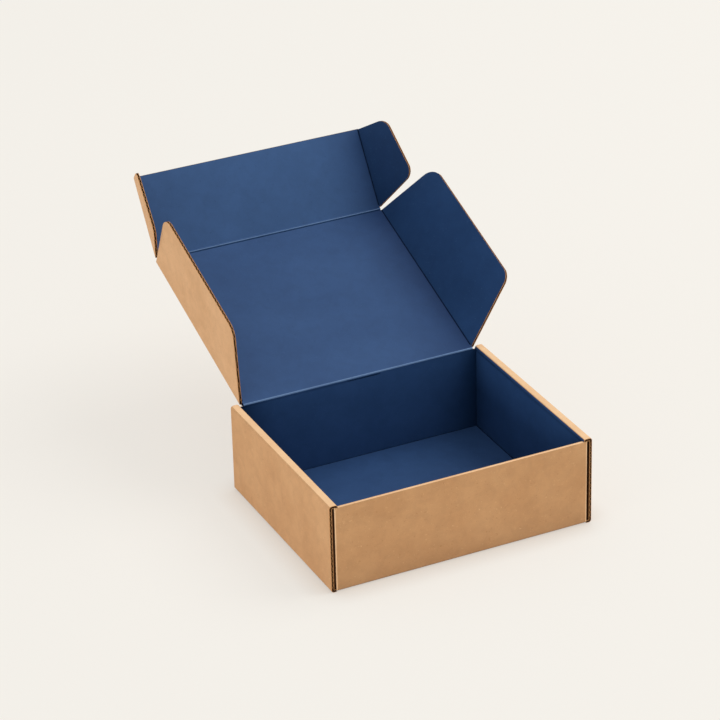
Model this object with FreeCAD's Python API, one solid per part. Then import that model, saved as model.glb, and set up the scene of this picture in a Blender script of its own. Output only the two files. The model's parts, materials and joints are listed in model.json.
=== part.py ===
import FreeCAD
import Part
import math
import os

# Corrugated mailer box with rolled side walls, a hinged lid and a front tuck flap, shown open.
# One die-cut sheet, folded: +X is to the right, +Y to the back, +Z up, millimetres.
# The origin is the centre of the base's underside.

# Overall size of the closed box, outside
boxWidth = 300.0
boxDepth = 240.0
boxHeight = 100.0

# Board: two liners with a wavy medium between them
boardThickness = 3.0
linerThickness = 0.5
flutePitch = 6.4
fluteCrest = 1.0
fluteWeb = 0.7
crushedWidth = 3.5

# Folds and gaps
foldRadius = 2.6
layerGap = 0.4
creaseGap = 0.4

# Corner flaps, which lie between the layers of the rolled sides
cornerFlapLength = 72.0
cornerFlapTaper = 6.0
cornerPostLift = 0.6

# Tabs that lock the inner side walls into the base
tabLength = 38.0
tabOffset = 58.0
tabTaper = 2.0
tabLift = 0.3
slotGap = 0.4

# Hollow ends of the rolled folds, where the crushed medium stands back
foldEndDepth = 5.0
roundestHollow = 0.9

# Lid, and how it clears the tray when shut
lidSideClearance = 0.8
tuckFrontClearance = 0.5
tuckBaseClearance = 1.0

# Ears on the lid's sides
lidEarLength = 81.0
lidEarHeel = 33.0
lidEarToe = 17.0
lidEarHeelRadius = 15.0
lidEarToeRadius = 19.0
lidEarInset = 2.5

# Ears on the tuck flap's ends
tuckSideRelief = 1.0
tuckEarLength = 56.0
tuckEarTipLength = 40.0
tuckEarHeel = 25.0
tuckEarRadius = 13.0
tuckEarInset = 2.5
tuckEarTipInset = 0.4

# How far a cutting shape reaches past what it cuts
cutOvershoot = 1.0

# How far each flap stands folded, in degrees
lidLean = 70.9
lidFurthestLean = 107.0
tuckBend = 36.6
rightLidEarFold = 52.6
leftLidEarFold = 87.7
rightTuckEarFold = 60.0
leftTuckEarFold = 76.5

# Sizes that follow
halfBoard = boardThickness / 2
creaseReach = halfBoard + creaseGap
sideThickness = 3 * boardThickness + 2 * layerGap
endWallHalfWidth = boxWidth / 2 - boardThickness - layerGap
endWallTop = boxHeight - boardThickness - layerGap
innerWallOuterX = boxWidth / 2 - sideThickness + boardThickness
innerWallInnerX = boxWidth / 2 - sideThickness
hingeY = boxDepth / 2 - halfBoard
hingeZ = boxHeight - halfBoard
lidHalfWidth = innerWallInnerX - lidSideClearance - halfBoard
lidLength = boxDepth - 2 * boardThickness - tuckFrontClearance
tuckHalfWidth = lidHalfWidth - tuckSideRelief
tuckLength = hingeZ - boardThickness - tuckBaseClearance
wideFlute = flutePitch - 2 * fluteWeb - fluteCrest
fluteHeight = boardThickness - 2 * linerThickness

alongX = FreeCAD.Vector(1, 0, 0)
alongY = FreeCAD.Vector(0, 1, 0)
alongZ = FreeCAD.Vector(0, 0, 1)
centre = FreeCAD.Vector(0, 0, 0)


def cornerArc(before, corner, after, radius):
    """Arc that rounds one corner, as its start, middle and end."""
    inwards = (before - corner).normalize()
    onwards = (after - corner).normalize()
    halfAngle = inwards.getAngle(onwards) / 2
    reach = radius / math.tan(halfAngle)
    bisector = (inwards + onwards).normalize()
    middle = corner + bisector * (radius / math.sin(halfAngle) - radius)
    return corner + inwards * reach, middle, corner + onwards * reach


def roundedFace(corners):
    """Flat face in the XY plane from (x, y, radius) corners, taken in order round its edge."""
    points = [FreeCAD.Vector(x, y, 0) for x, y, radius in corners]
    edges = []
    ends = []
    for index, (x, y, radius) in enumerate(corners):
        corner = points[index]
        if radius > 0:
            after = points[(index + 1) % len(points)]
            start, middle, end = cornerArc(points[index - 1], corner, after, radius)
            edges.append(Part.Arc(start, middle, end).toShape())
            ends.append((start, end))
        else:
            ends.append((corner, corner))
    for index in range(len(ends)):
        start = ends[index - 1][1]
        end = ends[index][0]
        if start.distanceToPoint(end) > 1e-6:
            edges.append(Part.LineSegment(start, end).toShape())
    wire = Part.Wire(Part.__sortEdges__(edges))
    return Part.Face(wire)


def slabUp(corners, bottom, top):
    """Outline seen from above, raised from bottom to top."""
    slab = roundedFace(corners).extrude(alongZ * (top - bottom))
    slab.translate(alongZ * bottom)
    return slab


def slabAlongDepth(corners, front, back):
    """Outline of (x, z, radius) corners, drawn out from front to back."""
    slab = roundedFace(corners).extrude(alongZ * (back - front))
    slab.rotate(centre, alongX, 90)
    slab.translate(alongY * back)
    return slab


def slabAlongWidth(corners, left, right):
    """Outline of (y, z, radius) corners, drawn out from left to right."""
    slab = roundedFace(corners).extrude(alongZ * (right - left))
    slab.rotate(centre, FreeCAD.Vector(1, 1, 1), 120)
    slab.translate(alongX * left)
    return slab


def mirrored(shape, normal):
    """The shape with its mirror copy."""
    return [shape, shape.mirror(centre, normal)]


def joined(shapes):
    """One clean solid from shapes that meet."""
    return shapes[0].multiFuse(shapes[1:]).removeSplitter().Solids[0]


def fluteOutlines(start, end):
    """Sections of the hollows beside a wavy medium, from start to end: crest up, then crest down."""
    step = flutePitch / 2
    count = int((end - start - wideFlute) // step) + 1
    first = (start + end) / 2 - (count - 1) * step / 2
    half = fluteHeight / 2
    outlines = []
    for index in range(count):
        middle = first + index * step
        up = half if index % 2 else -half
        outlines.append([
            (middle - wideFlute / 2, -up, 0),
            (middle + wideFlute / 2, -up, 0),
            (middle + fluteCrest / 2, up, 0),
            (middle - fluteCrest / 2, up, 0),
        ])
    return outlines


def basePlate():
    """The base, with the slots that take the inner walls' tabs."""
    halfWidth = boxWidth / 2 - boardThickness
    halfDepth = boxDepth / 2 - boardThickness
    corners = [(-halfWidth, -halfDepth, 0), (halfWidth, -halfDepth, 0),
               (halfWidth, halfDepth, 0), (-halfWidth, halfDepth, 0)]
    plate = slabUp(corners, 0, boardThickness)
    halfSlot = tabLength / 2 + slotGap
    for side in (-1, 1):
        for place in (-tabOffset, tabOffset):
            near = side * (innerWallInnerX - slotGap)
            far = side * (innerWallOuterX + slotGap)
            slot = [(near, place - halfSlot, 0), (far, place - halfSlot, 0),
                    (far, place + halfSlot, 0), (near, place + halfSlot, 0)]
            plate = plate.cut(slabUp(slot, -cutOvershoot, boardThickness + cutOvershoot))
    return plate


def rolledSide():
    """Right side: outer wall, flat top strip and the inner wall that comes back down to the base."""
    outer = boxWidth / 2
    outerInside = outer - boardThickness
    underStrip = boxHeight - boardThickness
    section = [(outerInside, 0, 0), (outer, 0, foldRadius), (outer, boxHeight, foldRadius),
               (innerWallInnerX, boxHeight, foldRadius), (innerWallInnerX, underStrip, 0),
               (outerInside, underStrip, 0)]
    roll = slabAlongDepth(section, -boxDepth / 2, boxDepth / 2)
    halfDepth = boxDepth / 2 - boardThickness - layerGap
    bottom = boardThickness + layerGap
    wall = [(-halfDepth, bottom, 0), (halfDepth, bottom, 0), (halfDepth, underStrip, 0), (-halfDepth, underStrip, 0)]
    pieces = [roll, slabAlongWidth(wall, innerWallInnerX, innerWallOuterX)]
    for place in (-tabOffset, tabOffset):
        root = tabLength / 2
        tip = root - tabTaper
        tab = [(place - tip, tabLift, 0), (place + tip, tabLift, 0), (place + root, boardThickness, 0),
               (place + root, bottom, 0), (place - root, bottom, 0), (place - root, boardThickness, 0)]
        pieces.append(slabAlongWidth(tab, innerWallInnerX, innerWallOuterX))
    return joined(pieces)


def sideHollows():
    """Open flutes along the right outer wall, and the hollow ends of its folds at the front and back."""
    outer = boxWidth / 2
    middle = outer - halfBoard
    low = foldRadius + boardThickness / 2
    high = boxHeight - boardThickness
    hollows = []
    reach = boxDepth / 2 + cutOvershoot
    for outline in fluteOutlines(low, high):
        section = [(middle + across, along, 0) for along, across, radius in outline]
        hollows.append(slabAlongDepth(section, -reach, reach))
    skin = linerThickness
    bend = min(foldRadius - skin, roundestHollow * fluteHeight)
    topEnd = [(outer - skin, high, 0), (outer - skin, boxHeight - skin, bend),
              (innerWallInnerX + skin, boxHeight - skin, bend), (innerWallInnerX + skin, high + skin, 0),
              (outer - boardThickness + skin, high + skin, 0), (outer - boardThickness + skin, high, 0)]
    lowEnd = [(outer - boardThickness + skin, skin, 0), (outer - skin, skin, bend),
              (outer - skin, low - skin, 0), (outer - boardThickness + skin, low - skin, 0)]
    for section in (topEnd, lowEnd):
        for end in (-1, 1):
            outside = end * reach
            inside = end * (boxDepth / 2 - foldEndDepth)
            hollows.append(slabAlongDepth(section, min(outside, inside), max(outside, inside)))
    return hollows


def endWall():
    """Front wall with its bottom fold and its two corner flaps, which turn back inside the sides."""
    face = -boxDepth / 2
    inside = face + boardThickness
    flapEnd = inside + cornerFlapLength
    outer = endWallHalfWidth
    inner = outer - boardThickness
    bottom = boardThickness + layerGap
    plan = [(-outer, flapEnd, 0), (-outer, face, foldRadius), (outer, face, foldRadius), (outer, flapEnd, 0),
            (inner, flapEnd, 0), (inner, inside, 0), (-inner, inside, 0), (-inner, flapEnd, 0)]
    wall = slabUp(plan, bottom, endWallTop)
    fold = [(inside, 0, 0), (inside, bottom, 0), (face, bottom, 0), (face, 0, foldRadius)]
    pieces = [wall, slabAlongWidth(fold, -inner, inner)]
    post = [(inner, inside - layerGap, 0), (inner, face, 0), (outer, face, foldRadius), (outer, inside - layerGap, 0)]
    pieces += mirrored(slabUp(post, cornerPostLift, bottom), alongX)
    body = joined(pieces)
    for low, high in ((bottom, bottom + cornerFlapTaper), (endWallTop, endWallTop - cornerFlapTaper)):
        past = flapEnd + cutOvershoot
        trim = [(past, low, 0), (past, high, 0), (flapEnd, high, 0), (inside + boardThickness, low, 0)]
        body = body.cut(slabAlongWidth(trim, -outer - cutOvershoot, outer + cutOvershoot))
    return body


def lidHingeRoom():
    """Room that the lid needs over the back wall to lean all the way back."""
    room = Part.makeBox(boxWidth, 4 * boardThickness, 4 * boardThickness)
    room.translate(FreeCAD.Vector(-boxWidth / 2, -boardThickness, -creaseReach))
    room.rotate(centre, alongX, 90 - lidFurthestLean)
    room.translate(FreeCAD.Vector(0, hingeY, hingeZ))
    keep = Part.makeBox(2 * endWallHalfWidth, boxDepth, boxHeight)
    keep.translate(FreeCAD.Vector(-endWallHalfWidth, hingeY - halfBoard, 0))
    return room.common(keep)


def tray():
    """Base, front and back walls and both rolled sides: the part of the sheet that stays folded."""
    front = endWall()
    back = front.mirror(centre, alongY).cut(lidHingeRoom())
    side = rolledSide()
    side = side.cut(Part.makeCompound(sideHollows()))
    return joined([basePlate(), front, back] + mirrored(side, alongX))


def creaseBead(start, end):
    """Rounded edge that a flap turns on, along its crease."""
    line = end - start
    return Part.makeCylinder(halfBoard, line.Length, start, line)


def creaseRoom(start, end, inwards):
    """Room beside a crease for the next flap: hollow on the outer face, square on the inner face."""
    line = (end - start).normalize()
    begin = start - line * boardThickness
    length = start.distanceToPoint(end) + 2 * boardThickness
    hollow = Part.makeCylinder(creaseReach, length, begin, line)
    corner = begin + inwards * creaseReach
    across = (start - corner - line * (start - corner).dot(line)) * 2
    face = Part.Face(Part.makePolygon([corner, corner + line * length, corner + line * length + across,
                                       corner + across, corner]))
    return hollow.fuse(face.extrude(alongZ * boardThickness))


def flatFlap(corners, start, end):
    """One flap of the flat sheet: its outline at board thickness, with a bead along its crease."""
    panel = slabUp(corners, -halfBoard, halfBoard)
    return panel.fuse(creaseBead(start, end)).removeSplitter().Solids[0]


def flatPoint(x, y):
    """A point in the flat sheet: x across it, y from the lid's hinge towards the tuck flap."""
    return FreeCAD.Vector(x, y, 0)


def lidPanel():
    """Lid, lying flat: its hinge lies on the X axis, and it ends at the tuck flap's crease."""
    half = lidHalfWidth
    panel = flatFlap([(-half, 0, 0), (half, 0, 0), (half, lidLength, 0), (-half, lidLength, 0)],
                     flatPoint(-half, 0), flatPoint(half, 0))
    rooms = [creaseRoom(flatPoint(-half, lidLength), flatPoint(half, lidLength), -alongY),
             creaseRoom(flatPoint(half, 0), flatPoint(half, lidLength), -alongX),
             creaseRoom(flatPoint(-half, 0), flatPoint(-half, lidLength), alongX)]
    return panel.cut(Part.makeCompound(rooms)).Solids[0]


def tuckPanel():
    """Tuck flap, lying flat beyond the lid."""
    half = tuckHalfWidth
    free = lidLength + tuckLength
    edge = half - creaseReach
    panel = flatFlap([(-half, lidLength, 0), (half, lidLength, 0), (half, free, 0), (-half, free, 0)],
                     flatPoint(-edge, lidLength), flatPoint(edge, lidLength))
    rooms = [creaseRoom(flatPoint(half, lidLength), flatPoint(half, free), -alongX),
             creaseRoom(flatPoint(-half, lidLength), flatPoint(-half, free), alongX)]
    return panel.cut(Part.makeCompound(rooms)).Solids[0]


def openFlutes(crease, tip, start, end):
    """Flutes that run away from a crease on the right and open at the flap's cut edges."""
    hollows = []
    for outline in fluteOutlines(start, end):
        hollows.append(slabAlongWidth(outline, crease + crushedWidth, tip + cutOvershoot))
    return Part.makeCompound(hollows)


def lidEar():
    """Right ear of the lid, lying flat: a heel cut back by the hinge and a smaller cut by the tuck flap."""
    crease = lidHalfWidth
    tip = crease + lidEarLength
    low = lidEarInset
    high = lidLength - lidEarInset
    ear = flatFlap([(crease, low, 0), (tip, lidEarHeel, lidEarHeelRadius),
                    (tip, lidLength - lidEarToe, lidEarToeRadius), (crease, high, 0)],
                   flatPoint(crease, low), flatPoint(crease, high))
    return ear.cut(openFlutes(crease, tip, low, high)).Solids[0]


def tuckEar():
    """Right ear of the tuck flap, lying flat: longer at its heel, beside the lid's ear, than at its tip."""
    crease = tuckHalfWidth
    heel = crease + tuckEarLength
    tip = crease + tuckEarTipLength
    low = lidLength + tuckEarInset
    high = lidLength + tuckLength - tuckEarTipInset
    ear = flatFlap([(crease, low, 0), (heel, lidLength + tuckEarHeel, tuckEarRadius),
                    (tip, high, tuckEarRadius), (crease, high, 0)],
                   flatPoint(crease, low), flatPoint(crease, high))
    return ear.cut(openFlutes(crease, heel, low, high)).Solids[0]


def foldedEar(flatRight, halfWidth, side, angle):
    """An ear on the right (side 1) or left (side -1), folded up from the flat sheet by an angle."""
    ear = flatRight.copy() if side > 0 else flatRight.mirror(centre, alongX)
    ear.rotate(flatPoint(side * halfWidth, 0), alongY, -side * angle)
    return ear


def foldTuck(shape):
    """Bends what belongs to the tuck flap up from the lid."""
    bent = shape.copy()
    bent.rotate(flatPoint(0, lidLength), alongX, tuckBend)
    return bent


def raiseLid(shape):
    """Turns what belongs to the lid to its lean and sets it on the back wall's crease."""
    raised = shape.copy()
    raised.rotate(centre, alongX, 90 - lidLean)
    raised.translate(FreeCAD.Vector(0, hingeY, hingeZ))
    return raised


def foldedSheet():
    """Every part of the folded sheet, by name."""
    flatLidEar = lidEar()
    flatTuckEar = tuckEar()
    return {
        "tray": tray(),
        "lid_panel": raiseLid(lidPanel()),
        "lid_ear_right": raiseLid(foldedEar(flatLidEar, lidHalfWidth, 1, rightLidEarFold)),
        "lid_ear_left": raiseLid(foldedEar(flatLidEar, lidHalfWidth, -1, leftLidEarFold)),
        "front_tuck": raiseLid(foldTuck(tuckPanel())),
        "tuck_ear_right": raiseLid(foldTuck(foldedEar(flatTuckEar, tuckHalfWidth, 1, rightTuckEarFold))),
        "tuck_ear_left": raiseLid(foldTuck(foldedEar(flatTuckEar, tuckHalfWidth, -1, leftTuckEarFold))),
    }


os.makedirs("parts", exist_ok=True)
for name, shape in foldedSheet().items():
    shape.exportStep("parts/" + name + ".step")
    print(name, "valid", shape.isValid(), "solids", len(shape.Solids), "volume", round(shape.Volume / 1000, 2), "cm3")
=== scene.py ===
import json
import math

import bmesh
import bpy
from mathutils import Matrix, Vector

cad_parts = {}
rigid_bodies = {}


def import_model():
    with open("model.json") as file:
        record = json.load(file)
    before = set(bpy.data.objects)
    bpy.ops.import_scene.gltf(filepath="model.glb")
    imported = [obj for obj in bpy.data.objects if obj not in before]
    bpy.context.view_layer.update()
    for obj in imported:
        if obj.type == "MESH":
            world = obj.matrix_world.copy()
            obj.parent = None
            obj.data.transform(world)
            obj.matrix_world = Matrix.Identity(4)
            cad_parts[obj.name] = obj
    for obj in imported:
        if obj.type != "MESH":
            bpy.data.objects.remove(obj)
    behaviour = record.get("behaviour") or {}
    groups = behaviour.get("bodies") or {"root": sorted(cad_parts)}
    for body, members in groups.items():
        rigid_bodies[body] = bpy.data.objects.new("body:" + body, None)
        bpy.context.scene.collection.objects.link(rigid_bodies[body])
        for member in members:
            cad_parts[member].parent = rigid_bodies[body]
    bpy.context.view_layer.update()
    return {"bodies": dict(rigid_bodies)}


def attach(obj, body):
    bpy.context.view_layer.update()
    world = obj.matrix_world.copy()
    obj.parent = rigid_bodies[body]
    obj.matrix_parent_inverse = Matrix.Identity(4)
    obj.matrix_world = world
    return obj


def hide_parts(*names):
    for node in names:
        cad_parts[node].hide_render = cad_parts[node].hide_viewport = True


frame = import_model()
bpy.ops.object.select_all(action="DESELECT")

mm = 0.001
samePoint = 1e-6  # points closer than this are one point
weld = 1e-5  # points closer than this are merged
past = 1.0 * mm  # a cutter reaches this far past what it cuts

# The board that every panel is made of
board = dict(
    thick=3.0 * mm,
    half=1.5 * mm,
    liner=0.5 * mm,  # paper on each face
    medium=0.32 * mm,  # wavy paper between them
    pitch=6.4 * mm,  # length of one flute
    fluteSteps=12,  # facets of one flute
    spareFlute=0.01,  # share of a flute that isn't worth one more
    fluteGap=0.01 * mm,  # between the flutes and the liners
    recess=0.2 * mm,  # the medium stands back from a cut edge
    within=0.1 * mm,  # a face this far below the surface is inside the board
    seat=1.56 * mm,  # room round a crease
    earSeat=1.6 * mm,
    foldSteps=8,  # facets of a fold
    creaseSteps=12,  # facets of a liner that turns round a crease
    cornerSteps=14,  # facets of an ear's round corner
    smoothAngle=32,  # bends below this are shaded smooth, in degrees
    flatArea=450 * mm * mm,  # a face larger than this is a flat panel
)


# General tools

def pick(obj, test, kind="VERT"):
    # selects in edit mode what passes the test, by its place
    mesh = bmesh.from_edit_mesh(obj.data)
    bpy.context.tool_settings.mesh_select_mode = (kind == "VERT", kind == "EDGE", kind == "FACE")
    mesh.select_mode = {kind}
    for group in (mesh.verts, mesh.edges, mesh.faces):
        for part in group:
            part.select_set(False)
    chosen = {"VERT": mesh.verts, "EDGE": mesh.edges, "FACE": mesh.faces}[kind]
    for part in chosen:
        if test(part):
            part.select_set(True)
    mesh.select_flush_mode()
    bmesh.update_edit_mesh(obj.data)


def activate(obj):
    bpy.ops.object.select_all(action="DESELECT")
    obj.select_set(True)
    bpy.context.view_layer.objects.active = obj


def editMode(obj):
    activate(obj)
    bpy.ops.object.mode_set(mode="EDIT")


def objectMode():
    bpy.ops.object.mode_set(mode="OBJECT")


def selectAll():
    bpy.ops.mesh.select_all(action="SELECT")


def extrudeBy(move):
    bpy.ops.mesh.extrude_region_move(TRANSFORM_OT_translate={"value": move})


def faceOut():
    selectAll()
    bpy.ops.mesh.normals_make_consistent(inside=False)


def flipFaces(obj):
    editMode(obj)
    selectAll()
    bpy.ops.mesh.flip_normals()
    objectMode()


def isAt(vertex, points):
    return min((vertex.co - point).length for point in points) < samePoint


def applyModifier(obj, kind, **settings):
    activate(obj)
    modifier = obj.modifiers.new(kind.lower(), kind)
    for name, value in settings.items():
        setattr(modifier, name, value)
    bpy.ops.object.modifier_apply(modifier=modifier.name)


def carve(obj, cutter, how="DIFFERENCE"):
    applyModifier(obj, "BOOLEAN", operation=how, object=cutter, solver="EXACT")
    bpy.data.objects.remove(cutter)


def joinAll(objects, name):
    bpy.ops.object.select_all(action="DESELECT")
    for obj in objects:
        obj.select_set(True)
    bpy.context.view_layer.objects.active = objects[0]
    bpy.ops.object.join()
    objects[0].name = name
    return objects[0]


def copyOf(obj, name):
    twin = obj.copy()
    twin.data = obj.data.copy()
    twin.name = name
    bpy.context.scene.collection.objects.link(twin)
    return twin


def place(obj, turn):
    # moves a finished piece, with the move kept in its mesh
    activate(obj)
    obj.matrix_world = turn
    bpy.ops.object.transform_apply(location=True, rotation=True, scale=True)


def mirrorAcross(obj):
    # turns a piece of the right side into one of the left side
    place(obj, Matrix.Scale(-1, 4, Vector((1, 0, 0))))
    flipFaces(obj)


def flatSheet(name, corners):
    bpy.ops.mesh.primitive_plane_add(size=1)
    sheet = bpy.context.object
    sheet.name = name
    for corner, vertex in zip(corners, (0, 1, 3, 2)):
        sheet.data.vertices[vertex].co = corner
    return sheet


def block(name, low, high):
    bpy.ops.mesh.primitive_cube_add(size=1)
    box = bpy.context.object
    box.name = name
    low, high = Vector(low), Vector(high)
    place(box, Matrix.LocRotScale((low + high) / 2, None, high - low))
    return box


def rod(name, start, end, radius, sides=48):
    start, end = Vector(start), Vector(end)
    bpy.ops.mesh.primitive_cylinder_add(vertices=sides, radius=radius, depth=(end - start).length)
    bar = bpy.context.object
    bar.name = name
    turn = (end - start).to_track_quat("Z", "Y").to_matrix().to_4x4()
    # half a facet round, so that a facet and no corner meets the flat faces of a panel
    turn = turn @ Matrix.Rotation(math.pi / sides, 4, "Z")
    place(bar, Matrix.Translation((start + end) / 2) @ turn)
    return bar


def foldedStrip(name, section, toPoint, near, far, outwards):
    # a strip that follows a section of (a, b, radius) points and runs from near to far
    places = [[toPoint(a, b, along) for along in (near, far)] for a, b, radius in section]
    strip = flatSheet(name, (places[0][0], places[0][1], places[1][1], places[1][0]))
    editMode(strip)
    for index in range(2, len(places)):
        last = places[index - 1]
        pick(strip, lambda edge: all(isAt(v, last) for v in edge.verts), "EDGE")
        extrudeBy(places[index][0] - last[0])
    for index in range(1, len(section) - 1):
        radius = section[index][2]
        if radius > 0:
            here = places[index]
            before = (places[index - 1][0] - here[0]).normalized()
            after = (places[index + 1][0] - here[0]).normalized()
            reach = radius / math.tan(before.angle(after) / 2)
            pick(strip, lambda edge: all(isAt(v, here) for v in edge.verts), "EDGE")
            bpy.ops.mesh.bevel(offset=reach, segments=board["foldSteps"], affect="EDGES")
    faceOut()
    objectMode()
    start = sum((point for pair in places[:2] for point in pair), Vector()) / 4
    first = min(strip.data.polygons, key=lambda face: (face.center - start).length)
    if first.normal.dot(Vector(outwards)) < 0:
        flipFaces(strip)
    return strip


def alongDepth(a, b, along):
    return Vector((a, along, b))


def wavySheet(name, start, end, near, far, toPoint, height):
    # the wavy medium: one flute, repeated from start to end
    count = math.ceil((end - start) / board["pitch"] - board["spareFlute"])
    steps = board["fluteSteps"]
    flute = []
    for step in range(steps + 1):
        turn = 2 * math.pi * step / steps
        flute.append((start + board["pitch"] * step / steps, height * math.cos(turn) / 2, 0))
    wave = foldedStrip(name, flute, toPoint, near, far, (0, 0, 1))
    shift = toPoint(board["pitch"], 0, 0) - toPoint(0, 0, 0)
    applyModifier(wave, "ARRAY", count=count, use_relative_offset=False, use_constant_offset=True,
                  constant_offset_displace=shift, use_merge_vertices=True, merge_threshold=weld)
    applyModifier(wave, "SOLIDIFY", thickness=board["medium"], offset=0)
    return wave


# Finishes

# The grain that every paper has
grain = dict(
    fibres=900,  # noise cells to a metre, as are the next three
    darkFlecks=420,
    paleFlecks=560,
    mediumFibres=1100,
    bumpHeight=0.0004,
    shadeCurve=2.2,  # how late a painted shade towards an edge sets in
)


def freshMaterial(name):
    material = bpy.data.materials.new(name)
    material.use_nodes = True
    nodes = material.node_tree.nodes
    nodes.clear()
    output = nodes.new("ShaderNodeOutputMaterial")
    shader = nodes.new("ShaderNodeBsdfPrincipled")
    material.node_tree.links.new(shader.outputs["BSDF"], output.inputs["Surface"])
    return material, shader


def nodeIn(material, kind, values=None, **settings):
    node = material.node_tree.nodes.new(kind)
    for name, value in settings.items():
        setattr(node, name, value)
    for name, value in (values or {}).items():
        node.inputs[name].default_value = value
    return node


def wire(material, start, end):
    material.node_tree.links.new(start, end)


def colour(red, green, blue):
    # a colour as a screen shows it, 0 to 255, made linear
    parts = []
    for value in (red, green, blue):
        share = value / 255
        parts.append(share / 12.92 if share < 0.04045 else ((share + 0.055) / 1.055) ** 2.4)
    return (*parts, 1)


def scatter(material, scale, detail, roughness=0.6, warp=0.0):
    # noise on the piece's own coordinates
    place = nodeIn(material, "ShaderNodeTexCoord")
    noise = nodeIn(material, "ShaderNodeTexNoise",
                   {"Scale": scale, "Detail": detail, "Roughness": roughness, "Distortion": warp})
    wire(material, place.outputs["Object"], noise.inputs["Vector"])
    return noise.outputs["Fac"]


def grey(value):
    return (value, value, value, 1)


def between(material, factor, low, high, lowColour, highColour):
    ramp = nodeIn(material, "ShaderNodeValToRGB")
    ramp.color_ramp.elements[0].position = low
    ramp.color_ramp.elements[1].position = high
    ramp.color_ramp.elements[0].color = lowColour
    ramp.color_ramp.elements[1].color = highColour
    wire(material, factor, ramp.inputs["Fac"])
    return ramp.outputs["Color"]


def mixed(material, factor, first, second, how="MIX"):
    mix = nodeIn(material, "ShaderNodeMix", data_type="RGBA", blend_type=how, clamp_result=True)
    for place, value in ((0, factor), (6, first), (7, second)):
        if isinstance(value, bpy.types.NodeSocket):
            wire(material, value, mix.inputs[place])
        else:
            mix.inputs[place].default_value = value
    return mix.outputs[2]


def nearness(material, axis, start, end, oneSided):
    # the mask of a painted shade: rises from 0 at start to 1 at end, to both sides of the middle or to one
    place = nodeIn(material, "ShaderNodeTexCoord")
    parts = nodeIn(material, "ShaderNodeSeparateXYZ")
    rise = nodeIn(material, "ShaderNodeMapRange", {"From Min": start, "From Max": end})
    curve = nodeIn(material, "ShaderNodeMath", {1: grain["shadeCurve"]}, operation="POWER")
    wire(material, place.outputs["Object"], parts.inputs[0])
    far = parts.outputs[axis]
    if not oneSided:
        away = nodeIn(material, "ShaderNodeMath", operation="ABSOLUTE")
        wire(material, far, away.inputs[0])
        far = away.outputs[0]
    wire(material, far, rise.inputs["Value"])
    wire(material, rise.outputs["Result"], curve.inputs[0])
    return curve.outputs[0]


def toned(material, tone, factor, low, high, lowColour, highColour):
    # multiplies a tone by a ramp
    return mixed(material, 1.0, tone, between(material, factor, low, high, lowColour, highColour), "MULTIPLY")


def flecked(material, tone, noise, low, high, share, fleck):
    spots = between(material, noise, low, high, grey(0), grey(share))
    return mixed(material, spots, tone, fleck)


def makePaper(name, dims):
    # a liner: slow change of tone, crinkled mottling, fine fibres, dark and pale flecks, and a painted shade
    # towards an edge or the foot where the dims give a shadeAxis
    material, shader = freshMaterial(name)
    clouds = scatter(material, dims["cloudScale"], 3)
    mottle = scatter(material, dims["mottleScale"], 4, 0.55, 0.6)
    fibres = scatter(material, grain["fibres"], 6, 0.7)
    tone = between(material, clouds, 0.3, 0.7, dims["darkTone"], dims["paleTone"])
    tone = toned(material, tone, mottle, 0.3, 0.62, grey(1 - dims["mottle"]), grey(1))
    tone = toned(material, tone, fibres, 0.25, 0.75, grey(1 - dims["fibre"]), grey(1))
    share = dims["fleckShare"]
    dark = scatter(material, grain["darkFlecks"], 3, 0.5, 0.5)
    tone = flecked(material, tone, dark, 0.64, 0.74, share, dims["fleck"])
    pale = scatter(material, grain["paleFlecks"], 2, 0.5, 0.8)
    tone = flecked(material, tone, pale, 0.65, 0.77, share, dims["paleFleck"])
    # painted shade: the tone darkens towards shadeTone near an edge or the foot
    if "shadeAxis" in dims:
        near = nearness(material, dims["shadeAxis"], dims["shadeStart"], dims["shadeEnd"], dims["oneSided"])
        tone = toned(material, tone, near, 0, 1, grey(1), dims["shadeTone"])
    wire(material, tone, shader.inputs["Base Color"])
    shader.inputs["Roughness"].default_value = dims["roughness"]
    shader.inputs["Specular IOR Level"].default_value = dims["specular"]
    rough = mixed(material, 0.5, fibres, mottle)
    bump = nodeIn(material, "ShaderNodeBump", {"Strength": dims["bump"], "Distance": grain["bumpHeight"]})
    wire(material, rough, bump.inputs["Height"])
    wire(material, bump.outputs["Normal"], shader.inputs["Normal"])
    return material


def makeMedium(name, dims):
    # brown medium inside the board, and the liners' cut edges
    material, shader = freshMaterial(name)
    fibres = scatter(material, grain["mediumFibres"], 5, 0.7)
    tone = between(material, fibres, 0.3, 0.7, dims["darkTone"], dims["paleTone"])
    wire(material, tone, shader.inputs["Base Color"])
    shader.inputs["Roughness"].default_value = dims["roughness"]
    shader.inputs["Specular IOR Level"].default_value = dims["specular"]
    return material


# Uncoated kraft liner outside
kraftPaper = dict(
    darkTone=colour(203, 153, 106),
    paleTone=colour(214, 165, 117),
    fleck=colour(176, 124, 76),
    paleFleck=colour(240, 200, 155),
    fleckShare=0.5,
    cloudScale=22,
    mottleScale=95,
    mottle=0.08,
    fibre=0.08,
    roughness=0.82,
    specular=0.25,
    bump=0.22,
)

# A little paler on the side walls; on the front and back walls a painted shade darkens the kraft towards the
# foot, where it meets the floor
sidePaper = dict(kraftPaper, darkTone=colour(205, 156, 110), paleTone=colour(216, 168, 121))
footShadeWallPaper = dict(kraftPaper, shadeAxis="Z", shadeStart=60 * mm, shadeEnd=0, shadeTone=(0.84, 0.84, 0.85, 1),
                 oneSided=True)

# Painted shade along the folds that the box stands on, dark as a contact shadow
footShadePaper = dict(kraftPaper, darkTone=colour(118, 84, 54), paleTone=colour(132, 95, 62))

# A little paler on the lid and the flaps
flapPaper = dict(kraftPaper, darkTone=colour(214, 167, 122), paleTone=colour(225, 179, 134))

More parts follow.
